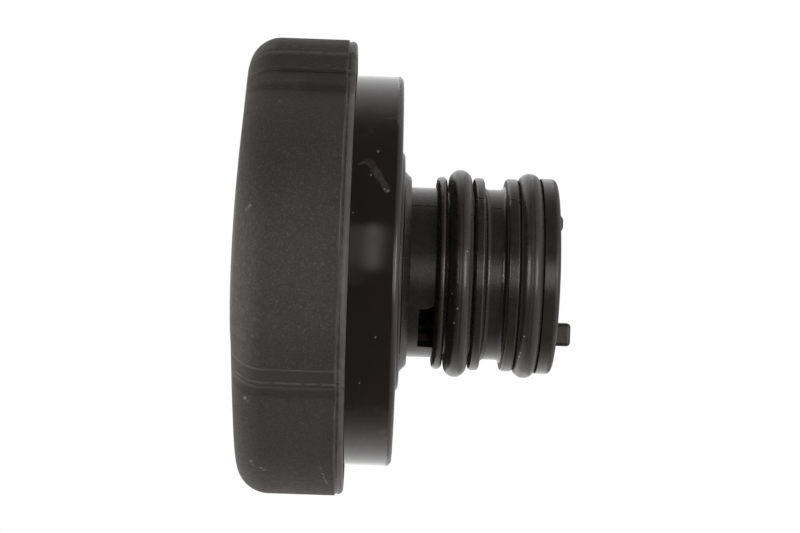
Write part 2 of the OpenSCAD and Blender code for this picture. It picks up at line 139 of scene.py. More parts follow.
def swirl(t):
    """How far the outline has turned where the shoulder has come down by the angle t."""
    return SHOULDER_SWIRL * (1 - math.sin(t))


def cover_meridian(deg):
    """The cover's skin at one angle, outside down to the rim and back up inside.
    Each point is a radius, a height and the angle by which the swirl has turned it."""
    share = outline_share(deg)
    r = GRIP_R - SCOOP_DEPTH * share
    shoulder_r = mix(SHOULDER_CREST_R, SHOULDER_FOOT_R, share)
    flat = r - shoulder_r
    inner = max(r - COVER_WALL, SKIRT_R + LOOSE)
    line_z = RIM_Z + RIM_BAND
    band_r = r - RIM_STEP
    rim_round = min(RIM_ROUND, band_r - inner - 0.1)
    outside = [(flat * k / 18, crown_height(flat * k / 18, share), SHOULDER_SWIRL)
               for k in range(1, 19)]
    for k in range(1, 19):
        t = math.radians(5 * k)
        x = flat + shoulder_r * math.sin(t)
        outside.append((x, crown_height(x, share) - SHOULDER_H * (1 - math.cos(t)), swirl(t)))
    wall_top = outside[-1][1]
    outside += [(r, mix(wall_top, line_z + 0.1, k / 5), 0) for k in range(1, 5)]
    # edge of the textured wall, its chamfer and the foot of the chamfer
    outside += [(r, line_z + 0.1, 0), (r - 0.012, line_z + 0.035, 0), (r - 0.05, line_z - 0.02, 0),
                (band_r - 0.02, line_z - 0.12, 0), (band_r - GROOVE_DEPTH, line_z - 0.17, 0),
                (band_r - GROOVE_DEPTH, RIM_GROOVE[0] + 0.08, 0),
                (band_r - 0.03, RIM_GROOVE[0] + 0.02, 0), (band_r, RIM_GROOVE[0] - 0.03, 0)]
    for k in range(9):
        t = math.radians(90 * k / 8)
        outside.append((band_r - rim_round * (1 - math.cos(t)),
                        RIM_Z + rim_round * (1 - math.sin(t)), 0))
    inside = [(inner, RIM_Z, 0)]
    in_sr = inner - flat
    for k in range(9):
        t = math.radians(90 - 90 * k / 8)
        x = flat + in_sr * math.sin(t)
        inside.append((x, crown_height(x, share) - ROOF - SHOULDER_H * (1 - math.cos(t)), swirl(t)))
    inside += [(flat * f, crown_height(flat * f, share) - ROOF, SHOULDER_SWIRL)
               for f in (0.75, 0.5, 0.25)]
    return outside + inside


def stripe(deg, centre, half_width, soft):
    return 1 - smooth((abs(deg - centre) - half_width) / soft)


def painted_shade_share(deg):
    """How much painted shade darkens the cover at an angle past the crest's edge: most in the notch, the
    hollow and the flank's foot, less over the ribs, and lightly near the flank and the crest."""
    deg = deg % SECTOR_DEG
    # Painted shade in the hollow, the notch and the flank's foot, and lightly away from the ramp's middle
    hollow = 0.6 * stripe(deg, HOLLOW_DEG, 0.3, 0.5)
    notch = stripe(deg, NOTCH_DEG, 0.15, 0.4)
    foot = 0.85 * smooth((deg - FLANK_DEG + 2.2) / 0.8) * (1 - smooth((deg - FLANK_DEG - 0.2) / 2.6))
    ramp_shade = 0.32 * stripe(deg, FLANK_DEG, 22, 28) + 0.22 * smooth((deg - 78) / 6)
    # Painted shade over the ribbed flank
    ribs = 0.62 * stripe(deg, 4.8, 3.4, 0.8)
    return max(hollow, notch, foot, ramp_shade, ribs)


def painted_glint_share(deg):
    """How much painted highlight lightens the ribs' edges at an angle past the crest's edge."""
    deg = deg % SECTOR_DEG
    return max(share * stripe(deg, place, half, 0.3) for place, half, share in GLINT_EDGES)


def sector_angles():
    """Angles of one sector of the grip, closest together across the ribbed flank."""
    start = FLANK_DEG + RAMP_DEG / 2
    angles = []
    deg = start
    while deg < start + SECTOR_DEG - 1e-6:
        angles.append(deg)
        past = deg % SECTOR_DEG
        if abs(past - GROOVE_DEG) < 0.3:
            deg += 0.04
        elif past < FLANK_DEG + 0.6 or past > SECTOR_DEG - 0.45:
            deg += 0.12
        elif past < FLANK_DEG + 6 or past > SECTOR_DEG - CREST_DEG:
            deg += 0.5
        else:
            deg += 1.5
    angles.append(start + SECTOR_DEG)
    return angles


def at(deg, r, z):
    a = math.radians(deg)
    return (r * math.cos(a) * MM, r * math.sin(a) * MM, z * MM)


def mesh_piece(name, points, faces, finish=None):
    mesh = bpy.data.meshes.new(name)
    mesh.from_pydata(points, [], faces)
    mesh.update()
    piece = bpy.data.objects.new(name, mesh)
    bpy.context.scene.collection.objects.link(piece)
    if finish is not None:
        mesh.materials.append(finish)
    return piece


def cover_sector():
    """One quarter of the cover's skin, open at both ends and closed at the two poles of the crown."""
    angles = sector_angles()
    points, faces, painted_shade, painted_glint = [], [], [], []
    for deg in angles:
        ring = cover_meridian(deg)
        points += [at(EDGE_PHASE - deg + turn, r, z) for r, z, turn in ring]
        out = [smooth((r - 20) / 8) for r, z, turn in ring]
        # Share of painted shade, only on the outside
        painted_shade += [painted_shade_share(deg) * k for k in out]
        # Share of painted highlight on the ribs' edges, only on the outside
        painted_glint += [painted_glint_share(deg) * k for k in out]
    m = len(points) // len(angles)
    top, under = len(points), len(points) + 1
    points += [(0, 0, CROWN_Z * MM), (0, 0, (CROWN_Z - ROOF) * MM)]
    for i in range(len(angles) - 1):
        a, b = i * m, (i + 1) * m
        faces.append((top, b, a))
        faces += [(a + j, b + j, b + j + 1, a + j + 1) for j in range(m - 1)]
        faces.append((under, a + m - 1, b + m - 1))
    sector = mesh_piece("cover_sector", points, faces)
    for label, shares in (("painted_shade", painted_shade), ("painted_glint", painted_glint)):
        marking = sector.data.attributes.new(label, "FLOAT", "POINT")
        marking.data.foreach_set("value", shares + [0.0, 0.0])
    return sector


# Geometry node trees


def repeat_round_axis():
    """Copies a piece round +Z a number of times, welds what meets, and gives it its finish."""
    tree = bpy.data.node_groups.new("repeat round axis", "GeometryNodeTree")
    face = tree.interface
    face.new_socket("Geometry", in_out="INPUT", socket_type="NodeSocketGeometry")
    copies = face.new_socket("Copies", in_out="INPUT", socket_type="NodeSocketInt")
    copies.default_value = 4
    weld = face.new_socket("Weld distance", in_out="INPUT", socket_type="NodeSocketFloat")
    weld.default_value = 0.000002
    face.new_socket("Finish", in_out="INPUT", socket_type="NodeSocketMaterial")
    face.new_socket("Geometry", in_out="OUTPUT", socket_type="NodeSocketGeometry")
    n, link = tree.nodes, tree.links
    entry, leave = n.new("NodeGroupInput"), n.new("NodeGroupOutput")
    line = n.new("GeometryNodeMeshLine")
    line.inputs["Offset"].default_value = (0, 0, 0)
    link.new(entry.outputs["Copies"], line.inputs["Count"])
    index = n.new("GeometryNodeInputIndex")
    step = n.new("ShaderNodeMath")
    step.operation = "DIVIDE"
    step.inputs[0].default_value = math.tau
    link.new(entry.outputs["Copies"], step.inputs[1])
    turn = n.new("ShaderNodeMath")
    turn.operation = "MULTIPLY"
    link.new(index.outputs[0], turn.inputs[0])
    link.new(step.outputs[0], turn.inputs[1])
    euler = n.new("ShaderNodeCombineXYZ")
    link.new(turn.outputs[0], euler.inputs["Z"])
    place = n.new("GeometryNodeInstanceOnPoints")
    link.new(line.outputs["Mesh"], place.inputs["Points"])
    link.new(entry.outputs["Geometry"], place.inputs["Instance"])
    link.new(euler.outputs[0], place.inputs["Rotation"])
    real = n.new("GeometryNodeRealizeInstances")
    link.new(place.outputs[0], real.inputs[0])
    join = n.new("GeometryNodeMergeByDistance")
    link.new(real.outputs[0], join.inputs["Geometry"])
    link.new(entry.outputs["Weld distance"], join.inputs["Distance"])
    finish = n.new("GeometryNodeSetMaterial")
    link.new(join.outputs[0], finish.inputs["Geometry"])
    link.new(entry.outputs["Finish"], finish.inputs["Material"])
    link.new(finish.outputs[0], leave.inputs[0])
    return tree


def rib_along_path():
    """A fine raised or sunk line along a path of edges, with a round section, for mould lines."""
    tree = bpy.data.node_groups.new("rib along path", "GeometryNodeTree")
    face = tree.interface
    face.new_socket("Geometry", in_out="INPUT", socket_type="NodeSocketGeometry")
    radius = face.new_socket("Section radius", in_out="INPUT", socket_type="NodeSocketFloat")
    radius.default_value = 0.0001
    copies = face.new_socket("Copies", in_out="INPUT", socket_type="NodeSocketInt")
    copies.default_value = 2
    face.new_socket("Finish", in_out="INPUT", socket_type="NodeSocketMaterial")
    face.new_socket("Geometry", in_out="OUTPUT", socket_type="NodeSocketGeometry")
    n, link = tree.nodes, tree.links
    entry, leave = n.new("NodeGroupInput"), n.new("NodeGroupOutput")
    path = n.new("GeometryNodeMeshToCurve")
    link.new(entry.outputs["Geometry"], path.inputs["Mesh"])
    section = n.new("GeometryNodeCurvePrimitiveCircle")
    section.inputs["Resolution"].default_value = 8
    link.new(entry.outputs["Section radius"], section.inputs["Radius"])
    tube = n.new("GeometryNodeCurveToMesh")
    link.new(path.outputs[0], tube.inputs["Curve"])
    link.new(section.outputs[0], tube.inputs["Profile Curve"])
    tube.inputs["Fill Caps"].default_value = True
    line = n.new("GeometryNodeMeshLine")
    line.inputs["Offset"].default_value = (0, 0, 0)
    link.new(entry.outputs["Copies"], line.inputs["Count"])
    index = n.new("GeometryNodeInputIndex")
    step = n.new("ShaderNodeMath")
    step.operation = "DIVIDE"
    step.inputs[0].default_value = math.tau
    link.new(entry.outputs["Copies"], step.inputs[1])
    turn = n.new("ShaderNodeMath")
    turn.operation = "MULTIPLY"
    link.new(index.outputs[0], turn.inputs[0])
    link.new(step.outputs[0], turn.inputs[1])
    euler = n.new("ShaderNodeCombineXYZ")
    link.new(turn.outputs[0], euler.inputs["Z"])
    place = n.new("GeometryNodeInstanceOnPoints")
    link.new(line.outputs["Mesh"], place.inputs["Points"])
    link.new(tube.outputs[0], place.inputs["Instance"])
    link.new(euler.outputs[0], place.inputs["Rotation"])
    real = n.new("GeometryNodeRealizeInstances")
    link.new(place.outputs[0], real.inputs[0])
    finish = n.new("GeometryNodeSetMaterial")
    link.new(real.outputs[0], finish.inputs["Geometry"])
    link.new(entry.outputs["Finish"], finish.inputs["Material"])
    link.new(finish.outputs[0], leave.inputs[0])
    return tree


def through_nodes(source, tree, name, **inputs):
    """Runs a piece through a node tree and returns the result as a plain mesh at the origin."""
    modifier = source.modifiers.new(name, "NODES")
    modifier.node_group = tree
    sockets = {s.name: s.identifier for s in tree.interface.items_tree
               if s.item_type == "SOCKET" and s.in_out == "INPUT"}
    for label, value in inputs.items():
        modifier[sockets[label.replace("_", " ")]] = value
    bpy.context.view_layer.update()
    evaluated = source.evaluated_get(bpy.context.evaluated_depsgraph_get())
    mesh = bpy.data.meshes.new_from_object(evaluated)
    mesh.name = name
    piece = bpy.data.objects.new(name, mesh)
    bpy.context.scene.collection.objects.link(piece)
    bpy.data.objects.remove(source)
    return piece


def face_outwards(piece, smooth_deg=40):
    """Points every face outwards and shades it smooth up to a crease."""
    shape = bmesh.new()
    shape.from_mesh(piece.data)
    bmesh.ops.recalc_face_normals(shape, faces=shape.faces)
    shape.to_mesh(piece.data)
    shape.free()
    piece.data.shade_smooth()
    if smooth_deg < 180:
        piece.data.set_sharp_from_angle(angle=math.radians(smooth_deg))
    return piece


# Finishes

# Marks, each from (X, Z) to (X, Z) with half its width and its soft edge, in millimetres: first the cover's
# painted shade lines, with their strength last, then marks of use
COVER_SHADE_LINES = [((27.3, 8.5), (27.3, 13.5), 0.6, 2.2, 0.5), ((29.25, 8.4), (29.25, 18.5), 0.2, 0.3, 0.95),
                ((33.5, 8.5), (33.5, 19), 0.35, 0.45, 0.7)]
COVER_SCUFFS = [
    ((-28.9, 21.0), (-29.3, 20.5), 0.05, 0.4),
    ((-29.8, 19.4), (-30.1, 18.9), 0.05, 0.45),
    ((-18.9, 21.6), (-19.3, 21.2), 0.05, 0.4),
    ((-29.4, 10.6), (-32.2, 9.7), 0.03, 0.22),
    ((24.4, 18.2), (24.4, 18.1), 0.08, 0.1),
    ((8.0, 21.9), (8.6, 21.4), 0.03, 0.25),
]
CUP_SMEAR = [
    ((15.3, 6.4), (15.75, 5.3), 0.12, 0.25),
    ((15.75, 5.3), (15.6, 4.6), 0.3, 0.35),
    ((15.3, 4.5), (13.4, 3.2), 0.38, 0.35),
    ((13.4, 3.2), (11.7, 2.2), 0.26, 0.4),
]
RING_LINT = [((-3.0, -8.1), 0.05), ((-3.9, -7.9), 0.04), ((-5.2, -9.0), 0.06), ((-7.4, -8.6), 0.04),
             ((-12.3, -18.9), 0.08), ((-11.7, -19.0), 0.05), ((-9.1, -19.3), 0.04), ((3.4, -10.2), 0.03)]
CUP_SPECKS = [((13.75, 4.55), 0.1), ((17.3, 3.65), 0.12), ((11.75, 2.55), 0.1), ((11.5, 2.05), 0.1),
              ((8.2, 6.9), 0.08), ((-9.4, 3.1), 0.1), ((-16.2, 5.2), 0.08)]


class Wiring:
    """Sums and spans in a node tree."""

    def __init__(self, tree):
        self.nodes, self.links = tree.nodes, tree.links

    def feed(self, socket, value):
        if isinstance(value, bpy.types.NodeSocket):
            self.links.new(value, socket)
        else:
            socket.default_value = value

    def calc(self, operation, a, b=0.0, c=0.0):
        node = self.nodes.new("ShaderNodeMath")
        node.operation = operation
        for socket, value in zip(node.inputs, (a, b, c)):
            self.feed(socket, value)
        return node.outputs[0]

    def span(self, value, low, high, to_low=0.0, to_high=1.0):
        """Maps a value from one span to another, smoothly, and holds it at the ends."""
        node = self.nodes.new("ShaderNodeMapRange")
        node.interpolation_type = "SMOOTHSTEP"
        for socket, v in zip(node.inputs, (value, low, high, to_low, to_high)):
            self.feed(socket, v)
        return node.outputs[0]


class Finish(Wiring):
    """A moulded, rubber or metal finish, made of nodes on the piece's own coordinates."""

    def __init__(self, name, roughness, metallic=0.0, specular=0.5, coat=0.0, coat_roughness=0.1):
        self.material = bpy.data.materials.new(name)
        self.material.use_nodes = True
        super().__init__(self.material.node_tree)
        self.shader = self.nodes["Principled BSDF"]
        self.shader.inputs["Metallic"].default_value = metallic
        self.shader.inputs["Specular IOR Level"].default_value = specular
        self.shader.inputs["Roughness"].default_value = roughness
        self.shader.inputs["Specular Tint"].default_value = (1.0, 0.95, 0.94, 1.0)
        self.shader.inputs["Coat Weight"].default_value = coat
        self.shader.inputs["Coat Roughness"].default_value = coat_roughness
        self.place = self.nodes.new("ShaderNodeTexCoord").outputs["Object"]
        self.bump_so_far = None

    def noise(self, scale, detail=2, rough=0.5, stretch=None, distort=0.0):
        """Soft random pattern; scale is in patches a metre."""
        node = self.nodes.new("ShaderNodeTexNoise")
        node.inputs["Scale"].default_value = scale
        node.inputs["Detail"].default_value = detail
        node.inputs["Roughness"].default_value = rough
        node.inputs["Distortion"].default_value = distort
        self.links.new(self.stretched(stretch), node.inputs["Vector"])
        return node.outputs["Fac"]

    def stretched(self, stretch):
        if stretch is None:
            return self.place
        node = self.nodes.new("ShaderNodeMapping")
        node.inputs["Scale"].default_value = stretch
        self.links.new(self.place, node.inputs["Vector"])
        return node.outputs[0]

    def specks(self, scale, size, share):
        """Small separate dots: cells a metre, dot size as a share of a cell, share of cells that have one."""
        cells = self.nodes.new("ShaderNodeTexVoronoi")
        cells.inputs["Scale"].default_value = scale
        self.links.new(self.place, cells.inputs["Vector"])
        dot = self.span(cells.outputs["Distance"], size, size * 0.4, 0, 1)
        chosen = self.nodes.new("ShaderNodeSeparateColor")
        self.links.new(cells.outputs["Color"], chosen.inputs[0])
        return self.calc("MULTIPLY", dot, self.calc("LESS_THAN", chosen.outputs[0], share))

    def blend(self, share, a, b):
        """Mixes two colours or colour sockets."""
        node = self.nodes.new("ShaderNodeMix")
        node.data_type = "RGBA"
        self.feed(node.inputs["Factor"], share)
        for socket, value in ((node.inputs["A"], a), (node.inputs["B"], b)):
            socket = [s for s in node.inputs if s.name == socket.name and s.type == "RGBA"][0]
            if isinstance(value, tuple):
                socket.default_value = (*value, 1)
            else:
                self.links.new(value, socket)
        return [s for s in node.outputs if s.type == "RGBA"][0]

    def height_of_place(self, axis="Z"):
        node = self.nodes.new("ShaderNodeSeparateXYZ")
        self.links.new(self.place, node.inputs[0])
        return node.outputs[axis]

    def share_of(self, label):
        """A share that the piece's own mesh carries."""
        node = self.nodes.new("ShaderNodeAttribute")
        node.attribute_name = label
        return node.outputs["Fac"]

    def faces_along_axis(self, from_share, to_share):
        """1 where the surface faces up or down the axis, as the walls of a groove do."""
        split = self.nodes.new("ShaderNodeSeparateXYZ")
        self.links.new(self.nodes.new("ShaderNodeTexCoord").outputs["Normal"], split.inputs[0])
        return self.span(self.calc("ABSOLUTE", split.outputs["Z"]), from_share, to_share)

    def streak(self, start_mm, end_mm, half_width_mm, soft_mm):
        """1 along a straight mark between two places, given as (X, Z), on the side that faces -Y."""
        split = self.nodes.new("ShaderNodeSeparateXYZ")
        self.links.new(self.place, split.inputs[0])
        run = [b - a for a, b in zip(start_mm, end_mm)]
        length = math.hypot(*run)
        run = [c / length for c in run] if length > 0 else [1.0, 0.0]
        x = self.calc("MULTIPLY_ADD", split.outputs["X"], 1 / MM, -start_mm[0])
        z = self.calc("MULTIPLY_ADD", split.outputs["Z"], 1 / MM, -start_mm[1])
        past = self.calc("MULTIPLY_ADD", z, run[1], self.calc("MULTIPLY", x, run[0]))
        off = self.calc("MULTIPLY_ADD", z, run[0], self.calc("MULTIPLY", x, -run[1]))
        beyond = self.calc("SUBTRACT", past, self.calc("MINIMUM", self.calc("MAXIMUM", past, 0.0), length))
        away = self.calc("SQRT", self.calc("ADD", self.calc("MULTIPLY", off, off),
                                           self.calc("MULTIPLY", beyond, beyond)))
        mark = self.span(away, half_width_mm, half_width_mm + soft_mm, 1, 0)
        return self.calc("MULTIPLY", mark, self.calc("LESS_THAN", split.outputs["Y"], 0.0))

    def low_side_tint(self, colour, tint):
        """A patchy yellowish tint on the side towards -X, full where X is below -9 mm."""
        share = self.calc("MULTIPLY", self.span(self.height_of_place("X"), -9 * MM, -1 * MM, 1.0, 0.0),
                          self.span(self.noise(90, 3, 0.5), 0.3, 0.6, 0.5, 1.0))
        return self.blend(share, colour, tint)

    def any_of(self, marks):
        """The strongest of several marks."""
        found = marks[0]
        for mark in marks[1:]:
            found = self.calc("MAXIMUM", found, mark)
        return found

    def raise_by(self, height, depth_mm, strength=1.0):
        """Adds a fine relief to the surface."""
        node = self.nodes.new("ShaderNodeBump")
        node.inputs["Strength"].default_value = strength
        node.inputs["Distance"].default_value = depth_mm * MM
        self.links.new(height, node.inputs["Height"])
        if self.bump_so_far is not None:
            self.links.new(self.bump_so_far, node.inputs["Normal"])
        self.bump_so_far = node.outputs[0]

    def done(self, colour, roughness=None):
        self.feed(self.shader.inputs["Base Color"], colour)
        if roughness is not None:
            self.feed(self.shader.inputs["Roughness"], roughness)
        if self.bump_so_far is not None:
            self.links.new(self.bump_so_far, self.shader.inputs["Normal"])
        return self.material


def spark_eroded_cover():
    """Dark warm grey moulding with a fine even texture, a smooth band at the rim, dust and scuffs.
    Painted shade darkens it where the cover's own shade attribute says, in the rim's groove and in lines along
    the ribs' notch and the flank's foot, and painted highlight lightens the ribs' edges and the wall's lower
    edge."""
    f = Finish("spark eroded cover", 0.6, specular=0.3)
    z = f.height_of_place()
    wall_end = RIM_Z + RIM_BAND
    textured = f.span(z, (wall_end - 0.04) * MM, (wall_end + 0.03) * MM)
    grain = f.noise(3300, 3, 0.65)
    coarse = f.noise(1100, 2, 0.5)
    cloudy = f.noise(70, 4, 0.55)
    colour = f.blend(f.span(cloudy, 0.35, 0.68), (0.0202, 0.0162, 0.0146), (0.0252, 0.0203, 0.0183))
    colour = f.blend(f.span(grain, 0.3, 0.5, 0.5, 0), colour, (0.012, 0.0105, 0.0095))
    colour = f.blend(f.span(grain, 0.5, 0.74, 0, 0.5), colour, (0.07, 0.0635, 0.059))
    colour = f.blend(f.calc("MULTIPLY", f.specks(700, 0.09, 0.05), 0.35), colour, (0.2, 0.19, 0.175))
    # Painted shade where the shell's shade attribute says
    shade_amount = f.calc("MULTIPLY", f.share_of("painted_shade"), f.span(coarse, 0.25, 0.7, 0.95, 0.6))
    colour = f.blend(shade_amount, colour, (0.008, 0.007, 0.0063))
    # Painted highlight along the ribs' edges, strongest where X is under 24 mm, and again above 30 mm
    painted_glint = f.calc("MULTIPLY", f.share_of("painted_glint"), f.span(coarse, 0.3, 0.6, 0.2, 0.7))
    x = f.height_of_place("X")
    painted_glint = f.calc("MULTIPLY", painted_glint, f.calc("ADD", f.span(x, 24 * MM, 27 * MM, 1.0, 0.25),
                                               f.span(x, 30 * MM, 31 * MM, 0.0, 0.5)))
    colour = f.blend(painted_glint, colour, (0.09, 0.083, 0.077))
    # Painted shade: dark lines along the top side's rib notch and at the flank's foot
    shade_lines = f.any_of([f.calc("MULTIPLY", f.streak(a, b, width, soft), share)
                      for a, b, width, soft, share in COVER_SHADE_LINES])
    colour = f.blend(shade_lines, colour, (0.006, 0.0052, 0.0047))
    marking = f.any_of([f.streak(a, b, width, soft) for a, b, width, soft in COVER_SCUFFS])
    colour = f.blend(f.calc("MULTIPLY", marking, f.span(f.noise(1500, 3, 0.7), 0.44, 0.6, 0.0, 0.7)),
                     colour, (0.15, 0.14, 0.13))
    # Painted shade in the rim's groove
    groove_low, groove_high = RIM_GROOVE
    groove_shade = f.calc("MULTIPLY", f.span(z, groove_low * MM, (groove_low + 0.06) * MM),
                  f.span(z, (groove_high - 0.06) * MM, groove_high * MM, 1, 0))
    band = f.blend(f.span(f.noise(500, 4, 0.6), 0.35, 0.7), (0.047, 0.0425, 0.04), (0.062, 0.056, 0.053))
    band = f.blend(f.calc("MULTIPLY", groove_shade, f.span(coarse, 0.3, 0.6, 0.15, 0.6)), band,
                   (0.009, 0.0075, 0.0065))
    shaded = f.span(f.height_of_place("X"), 26 * MM, 29 * MM, 0.0, 0.4)
    band = f.blend(shaded, band, (0.016, 0.0135, 0.0125))
    colour = f.blend(textured, band, colour)
    # Painted highlight along the textured wall's lower edge, broken up by noise
    edge = f.calc("MULTIPLY", f.span(z, wall_end * MM, (wall_end + 0.05) * MM),
                  f.span(z, (wall_end + 0.1) * MM, (wall_end + 0.2) * MM, 1, 0))
    painted_glint = f.span(f.noise(160, 3, 0.6), 0.42, 0.58, 0.1, 0.75)
    colour = f.blend(f.calc("MULTIPLY", edge, painted_glint), colour, (0.085, 0.078, 0.073))
    f.raise_by(f.calc("MULTIPLY", f.calc("ADD", grain, f.calc("MULTIPLY", coarse, 0.5)), textured), 0.05)
    rough = f.span(coarse, 0.3, 0.7, 0.64, 0.74)
    rough = f.calc("ADD", f.calc("MULTIPLY", rough, textured),
                   f.calc("MULTIPLY", f.calc("SUBTRACT", 1.0, textured), 0.42))
    return f.done(colour, rough)


def polished_cup():
    """Glossy black moulding, with a smear, a few specks, a little dust, and pale wisps of dust and painted sheen
    towards ±X.
    """
    f = Finish("polished cup", 0.05, specular=0.52)
    cloudy = f.noise(60, 3, 0.5)
    colour = f.blend(f.span(cloudy, 0.35, 0.7), (0.0042, 0.0012, 0.0011), (0.0056, 0.0019, 0.0017))
    colour = f.low_side_tint(colour, (0.0068, 0.0036, 0.0014))
    colour = f.blend(f.calc("MULTIPLY", f.specks(420, 0.05, 0.10), 0.5), colour, (0.16, 0.15, 0.12))
    smear = f.any_of([f.streak(a, b, width, soft) for a, b, width, soft in CUP_SMEAR])
    smear = f.calc("MULTIPLY", smear, f.span(f.noise(900, 4, 0.65), 0.3, 0.62, 0.3, 1))
    colour = f.blend(f.calc("MULTIPLY", smear, 0.55), colour, (0.032, 0.03, 0.029))
    # Pale wisps towards ±X: partly dust, partly painted sheen where the skirt reflects the white
    dusty_sheen = f.span(f.noise(330, 5, 0.72, distort=0.8), 0.5, 0.7, 0.0, 0.45)
    dusty_sheen = f.calc("MULTIPLY", dusty_sheen, f.span(f.calc("ABSOLUTE", f.height_of_place("X")),
                                             17 * MM, 26 * MM))
    colour = f.blend(dusty_sheen, colour, (0.075, 0.068, 0.064))
    specks = f.any_of([f.streak(a, a, size, 0.1) for a, size in CUP_SPECKS])
    colour = f.blend(f.calc("MULTIPLY", specks, 0.8), colour, (0.12, 0.112, 0.105))
    f.raise_by(f.noise(220, 3, 0.5), 0.0015)
    rough = f.span(f.noise(130, 4, 0.6), 0.3, 0.75, 0.035, 0.055)
    rough = f.calc("ADD", rough, f.calc("MULTIPLY", smear, 0.35))
    rough = f.calc("ADD", rough, f.calc("MULTIPLY", dusty_sheen, 0.3))
    rough = f.calc("ADD", rough, f.span(f.height_of_place(), 0.6 * MM, 1.2 * MM, 0.22, 0.0))
    return f.done(colour, rough)


def satin_plug():
    """Satin black moulding of the plug and its end plate."""
    f = Finish("satin plug", 0.3, specular=0.46)
    cloudy = f.noise(160, 4, 0.6)
    colour = f.blend(f.span(cloudy, 0.35, 0.7), (0.0078, 0.0043, 0.004), (0.0105, 0.0062, 0.0058))
    colour = f.low_side_tint(colour, (0.01, 0.0092, 0.0048))
    grain = f.noise(2400, 2, 0.5)
    dust = f.specks(520, 0.06, 0.1)
    colour = f.blend(f.calc("MULTIPLY", dust, 0.35), colour, (0.16, 0.15, 0.13))
    x, y = f.height_of_place("X"), f.height_of_place("Y")
    from_axis = f.calc("SQRT", f.calc("ADD", f.calc("MULTIPLY", x, x), f.calc("MULTIPLY", y, y)))
    bore = f.span(from_axis, (BARREL_R - 1.2) * MM, (BARREL_R - 0.9) * MM, 1, 0)
    bore = f.calc("MULTIPLY", bore, f.span(f.height_of_place(), -21 * MM, -20.5 * MM))
    colour = f.blend(bore, colour, (0.045, 0.026, 0.021))
    walls = f.faces_along_axis(0.8, 0.97)
    colour = f.blend(f.calc("MULTIPLY", walls, 0.8), colour, (0.05, 0.038, 0.034))
    f.raise_by(grain, 0.012)
    rough = f.span(f.noise(700, 3, 0.6), 0.3, 0.7, 0.22, 0.3)
    rough = f.calc("ADD", rough, f.calc("MULTIPLY", walls, 0.3))
    rough = f.calc("ADD", rough, f.span(f.height_of_place(), -23.8 * MM, -23.4 * MM, 0.14, 0.0))
    return f.done(colour, rough)


def seal_rubber():
    """Smooth black rubber with a light sheen and specks of lint."""
    f = Finish("seal rubber", 0.3, specular=0.43)
    cloudy = f.noise(300, 4, 0.6)
    colour = f.blend(f.span(cloudy, 0.35, 0.7), (0.0135, 0.0096, 0.009), (0.019, 0.0142, 0.0134))
    colour = f.low_side_tint(colour, (0.016, 0.016, 0.0095))
    dust = f.specks(700, 0.07, 0.12)
    colour = f.blend(f.calc("MULTIPLY", dust, 0.5), colour, (0.2, 0.2, 0.19))
    lint = f.any_of([f.streak(a, a, size, 0.08) for a, size in RING_LINT])
    colour = f.blend(f.calc("MULTIPLY", lint, 0.85), colour, (0.5, 0.5, 0.47))
    flanks = f.faces_along_axis(0.7, 0.98)
    colour = f.blend(f.calc("MULTIPLY", flanks, 0.8), colour, (0.05, 0.038, 0.034))
    f.raise_by(f.noise(1500, 3, 0.55), 0.012)
    rough = f.span(f.noise(500, 3, 0.6), 0.3, 0.7, 0.24, 0.34)
    rough = f.calc("ADD", rough, f.calc("MULTIPLY", flanks, 0.25))
    return f.done(colour, rough)


def natural_plastic(name, light, dark, roughness):
    """Undyed moulding with soft flow marks."""
    f = Finish(name, roughness)
    flow = f.noise(110, 4, 0.55, stretch=(1, 1, 3))
    colour = f.blend(f.span(flow, 0.35, 0.7), dark, light)
    f.raise_by(f.noise(1400, 3, 0.55), 0.01)
    rough = f.span(f.noise(400, 3, 0.6), 0.3, 0.7, roughness - 0.06, roughness + 0.06)
    return f.done(colour, rough)


def worked_metal(name, light, dark, roughness, lay):
    """Drawn or turned metal, its fine marks running across the lay's short direction."""
    f = Finish(name, roughness, metallic=1.0)
    marks = f.noise(900, 3, 0.6, stretch=lay)
    colour = f.blend(f.span(marks, 0.3, 0.7), dark, light)
    f.raise_by(marks, 0.004)
    rough = f.span(marks, 0.3, 0.7, roughness - 0.07, roughness + 0.07)
    return f.done(colour, rough)


cover_finish = spark_eroded_cover()
cup_finish = polished_cup()
plug_finish = satin_plug()
rubber_finish = seal_rubber()
washer_finish = natural_plastic("washer plastic", (0.8, 0.78, 0.71), (0.72, 0.69, 0.61), 0.4)
valve_finish = natural_plastic("valve plastic", (0.62, 0.57, 0.45), (0.5, 0.45, 0.34), 0.45)
steel_finish = worked_metal("spring steel", (0.62, 0.62, 0.63), (0.46, 0.46, 0.47), 0.3, (1, 1, 4))
brass_finish = worked_metal("poppet brass", (0.8, 0.6, 0.27), (0.62, 0.43, 0.16), 0.28, (1, 1, 6))

NODE_FINISHES = {
    "threaded_cup": cup_finish,
    "valve_housing": plug_finish,
    "end_plate": plug_finish,
    "pressure_valve_seal": rubber_finish,
    "vacuum_seal": rubber_finish,
    "thrust_washer": washer_finish,
    "slip_washer": washer_finish,
    "pressure_valve_plate": valve_finish,
    "circlip": steel_finish,
    "spring_seat": steel_finish,
    "pressure_spring": steel_finish,
    "vacuum_spring": steel_finish,
    "vacuum_clip": steel_finish,
    "vacuum_poppet": brass_finish,
}
for node_name, node_finish in NODE_FINISHES.items():
    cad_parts[node_name].data.materials.clear()
    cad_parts[node_name].data.materials.append(node_finish)

# Pieces

repeat_tree = repeat_round_axis()
rib_tree = rib_along_path()

cover = through_nodes(cover_sector(), repeat_tree, "cover_shell", Copies=SECTORS, Finish=cover_finish)
face_outwards(cover, 180)
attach(cover, "cap")
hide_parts("grip_cover")


